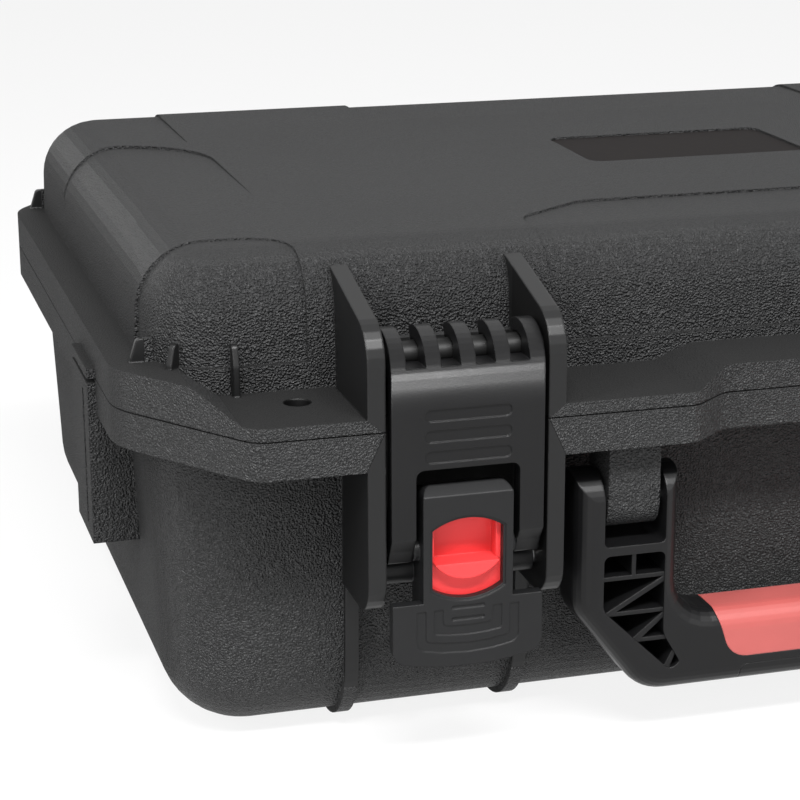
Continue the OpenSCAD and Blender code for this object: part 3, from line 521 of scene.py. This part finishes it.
class StageSettings(bpy.types.PropertyGroup):
    camera_place: bpy.props.FloatVectorProperty(
        name="Camera", description="Place of the camera", subtype="TRANSLATION", size=3,
        default=(-0.3112, -0.72741, 0.28941))
    camera_yaw: bpy.props.FloatProperty(
        name="Yaw", description="Turn of the camera to the right", subtype="ANGLE",
        default=math.radians(15.98))
    camera_pitch: bpy.props.FloatProperty(
        name="Pitch", description="Tilt of the camera downwards", subtype="ANGLE",
        default=math.radians(16.57))
    camera_roll: bpy.props.FloatProperty(
        name="Roll", description="Roll of the camera", subtype="ANGLE",
        default=math.radians(-0.20))
    lens: bpy.props.FloatProperty(
        name="Lens", description="Focal length on a 36 mm sensor, in millimetres",
        default=100.44, min=10)
    world_light: bpy.props.FloatProperty(
        name="World", description="Strength of the light from all round", default=0.10, min=0)
    key_power: bpy.props.FloatProperty(
        name="Key", description="Power of the soft box above the front",
        unit="POWER", default=50.0, min=0)
    left_power: bpy.props.FloatProperty(
        name="Left", description="Power of the strip above the left side",
        unit="POWER", default=10.0, min=0)
    fill_power: bpy.props.FloatProperty(
        name="Fill", description="Power of the lamp at the front left",
        unit="POWER", default=6.0, min=0)


# Pieces


class CASE_OT_shells(bpy.types.Operator):
    """Finishes the moulded base and lid and the seal between them"""

    bl_idname = "case.shells"
    bl_label = "Base and lid"

    def execute(self, context):
        settings = context.scene.case_settings
        dress(
            moulded_shell(settings), "base_shell", "lid_shell",
            "base_rim", "base_eye_left", "base_eye_right", "lid_eye_left", "lid_eye_right",
            "handle_lug_left", "handle_lug_right")
        dress(soft_rubber("seal_rubber", SEAL_COLOUR), "seal")
        return {"FINISHED"}


class CASE_OT_label(bpy.types.Operator):
    """Finishes the bare plate in the lid's recess"""

    bl_idname = "case.label"
    bl_label = "Label plate"

    def execute(self, context):
        dress(bare_plate(context.scene.case_settings), "label_plate")
        return {"FINISHED"}


class CASE_OT_latches(bpy.types.Operator):
    """Finishes the claws, levers and release buttons"""

    bl_idname = "case.latches"
    bl_label = "Latches"

    def execute(self, context):
        settings = context.scene.case_settings
        claw = satin_plastic("claw_plastic", settings.satin_colour, 0.34, settings, curled=True)
        lever = satin_plastic("lever_plastic", settings.lever_colour, 0.42, settings)
        button = satin_plastic("button_plastic", settings.button_colour, 0.40, settings)
        for side in ("left", "right"):
            dress(claw, "claw_" + side, "lever_back_" + side)
            dress(lever, "lever_" + side)
            dress(button, "button_" + side)
        return {"FINISHED"}


class CASE_OT_handle(bpy.types.Operator):
    """Finishes the carry handle and its soft grip"""

    bl_idname = "case.handle"
    bl_label = "Handle"

    def execute(self, context):
        settings = context.scene.case_settings
        plastic = satin_plastic("handle_plastic", settings.satin_colour, 0.36, settings)
        dress(plastic, "handle_frame", "handle_cover")
        dress(soft_rubber("grip_rubber", settings.grip_colour), "handle_grip")
        return {"FINISHED"}


class CASE_OT_hardware(bpy.types.Operator):
    """Finishes the steel pins and springs"""

    bl_idname = "case.hardware"
    bl_label = "Pins and springs"

    def execute(self, context):
        steel = turned_steel()
        for part in ("hinge_pin_", "handle_pin_", "lever_pin_", "claw_pins_", "button_spring_"):
            dress(steel, part + "left", part + "right")
        return {"FINISHED"}


class CASE_OT_foam(bpy.types.Operator):
    """Makes the three foam inserts with their cut edges softened"""

    bl_idname = "case.foam"
    bl_label = "Foam inserts"

    def execute(self, context):
        settings = context.scene.case_settings
        foam = closed_foam(settings)
        for node, name, body in (
            ("foam_pad", "floor_pad", "base"),
            ("foam_tray", "pocket_insert", "base"),
            ("lid_foam", "lid_insert", "lid"),
        ):
            piece = merged_copy(node, name)
            soften(piece, settings.foam_edge)
            finish_piece(piece, body, foam, node)
        return {"FINISHED"}


class CASE_OT_stage(bpy.types.Operator):
    """Sets up the pale floor, the lamps and the camera"""

    bl_idname = "case.stage"
    bl_label = "Stage"

    def lamp(self, name, place, target, size, power):
        data = bpy.data.lights.new(name, "AREA")
        data.shape = "RECTANGLE"
        data.size, data.size_y = size
        data.energy = power
        lamp = bpy.data.objects.new(name, data)
        bpy.context.scene.collection.objects.link(lamp)
        lamp.location = place
        lamp.rotation_euler = (Vector(target) - Vector(place)).to_track_quat("-Z", "Y").to_euler()

    def backdrop_light(self, tree, white, real, target):
        """Shows one shader to the camera and in reflections, and lights with the other."""
        nodes, links = tree.nodes, tree.links
        path = nodes.new("ShaderNodeLightPath")
        seen = path.outputs["Is Camera Ray"]
        for ray in ("Is Glossy Ray", "Is Transmission Ray"):
            both = nodes.new("ShaderNodeMath")
            both.operation = "MAXIMUM"
            links.new(seen, both.inputs[0])
            links.new(path.outputs[ray], both.inputs[1])
            seen = both.outputs[0]
        mix = nodes.new("ShaderNodeMixShader")
        links.new(seen, mix.inputs[0])
        links.new(real, mix.inputs[1])
        links.new(white, mix.inputs[2])
        links.new(mix.outputs[0], target)

    def floor(self):
        """A pale floor that keeps the case's shadow."""
        clear_selection()
        bpy.ops.mesh.primitive_plane_add(size=30, location=(0, 0, 0))
        floor = bpy.context.object
        floor.name = "floor"
        finish = Finish("pale_floor")
        finish.surface(Base_Color=(0.9, 0.9, 0.9), Roughness=0.9)
        nodes, links = finish.tree.nodes, finish.tree.links
        white = nodes.new("ShaderNodeEmission")
        white.inputs["Strength"].default_value = 1.0
        blend = nodes.new("ShaderNodeMixShader")
        blend.inputs[0].default_value = FLOOR_WHITE
        links.new(finish.shader.outputs[0], blend.inputs[1])
        links.new(white.outputs[0], blend.inputs[2])
        self.backdrop_light(
            finish.tree, blend.outputs[0], finish.shader.outputs[0],
            finish.output.inputs["Surface"])
        floor.data.materials.append(finish.material)

    def surroundings(self, scene, strength):
        """White all round to the camera, and a weaker even light."""
        world = bpy.data.worlds.new("studio")
        scene.world = world
        world.use_nodes = True
        nodes = world.node_tree.nodes
        soft = nodes["Background"]
        soft.inputs["Color"].default_value = (1, 1, 1, 1)
        soft.inputs["Strength"].default_value = strength
        white = nodes.new("ShaderNodeBackground")
        white.inputs["Color"].default_value = (1, 1, 1, 1)
        white.inputs["Strength"].default_value = 1.0
        self.backdrop_light(
            world.node_tree, white.outputs[0], soft.outputs[0],
            nodes["World Output"].inputs["Surface"])

    def lamps(self, stage):
        """A wide key above the front, a strip above the left side and two weak lamps in front."""
        key, left, fill = stage.key_power, stage.left_power, stage.fill_power
        self.lamp("key", (-0.15, -1.0, 1.4), (-0.08, -0.12, 0.1), (1.1, 0.22), key)
        self.lamp("left", (-1.15, -0.55, 0.95), (-0.2, -0.05, 0.12), (0.22, 0.7), left)
        self.lamp("fill", (-0.9, -1.3, 0.5), (-0.1, -0.1, 0.08), (0.7, 0.9), fill)
        self.lamp("front", (0.9, -1.4, 0.7), (0.05, -0.15, 0.07), (0.5, 0.9), fill * FRONT_SHARE)

    def camera(self, scene, stage):
        """The photograph's camera."""
        camera = bpy.data.cameras.new("camera")
        viewer = bpy.data.objects.new("camera", camera)
        scene.collection.objects.link(viewer)
        scene.camera = viewer
        yaw, pitch = stage.camera_yaw, stage.camera_pitch
        ahead = Vector((
            math.sin(yaw) * math.cos(pitch), math.cos(yaw) * math.cos(pitch), -math.sin(pitch)))
        turn = ahead.to_track_quat("-Z", "Y") @ Quaternion((0, 0, 1), stage.camera_roll)
        viewer.rotation_euler = turn.to_euler()
        viewer.location = stage.camera_place
        camera.lens = stage.lens
        camera.sensor_width = 36
        camera.clip_start = 0.01

    def execute(self, context):
        scene = context.scene
        stage = scene.stage_settings
        scene.view_settings.view_transform = "Standard"
        self.floor()
        self.surroundings(scene, stage.world_light)
        self.lamps(stage)
        self.camera(scene, stage)
        return {"FINISHED"}


class CASE_PT_panel(bpy.types.Panel):
    bl_idname = "CASE_PT_panel"
    bl_label = "Camera gimbal case"
    bl_space_type = "VIEW_3D"
    bl_region_type = "UI"
    bl_category = "Case"

    def draw(self, context):
        for settings in (context.scene.case_settings, context.scene.stage_settings):
            for name in settings.__annotations__:
                self.layout.prop(settings, name)
        for operator in OPERATORS:
            self.layout.operator(operator.bl_idname)


OPERATORS = (
    CASE_OT_shells, CASE_OT_label, CASE_OT_latches, CASE_OT_handle, CASE_OT_hardware,
    CASE_OT_foam, CASE_OT_stage)
CLASSES = (CaseSettings, StageSettings, *OPERATORS, CASE_PT_panel)


def register():
    for cls in CLASSES:
        bpy.utils.register_class(cls)
    bpy.types.Scene.case_settings = bpy.props.PointerProperty(type=CaseSettings)
    bpy.types.Scene.stage_settings = bpy.props.PointerProperty(type=StageSettings)


def unregister():
    del bpy.types.Scene.stage_settings
    del bpy.types.Scene.case_settings
    for cls in reversed(CLASSES):
        bpy.utils.unregister_class(cls)


def main():
    register()
    bpy.ops.case.shells()
    bpy.ops.case.label()
    bpy.ops.case.latches()
    bpy.ops.case.handle()
    bpy.ops.case.hardware()
    bpy.ops.case.foam()
    bpy.ops.case.stage()


if __name__ == "__main__":
    main()
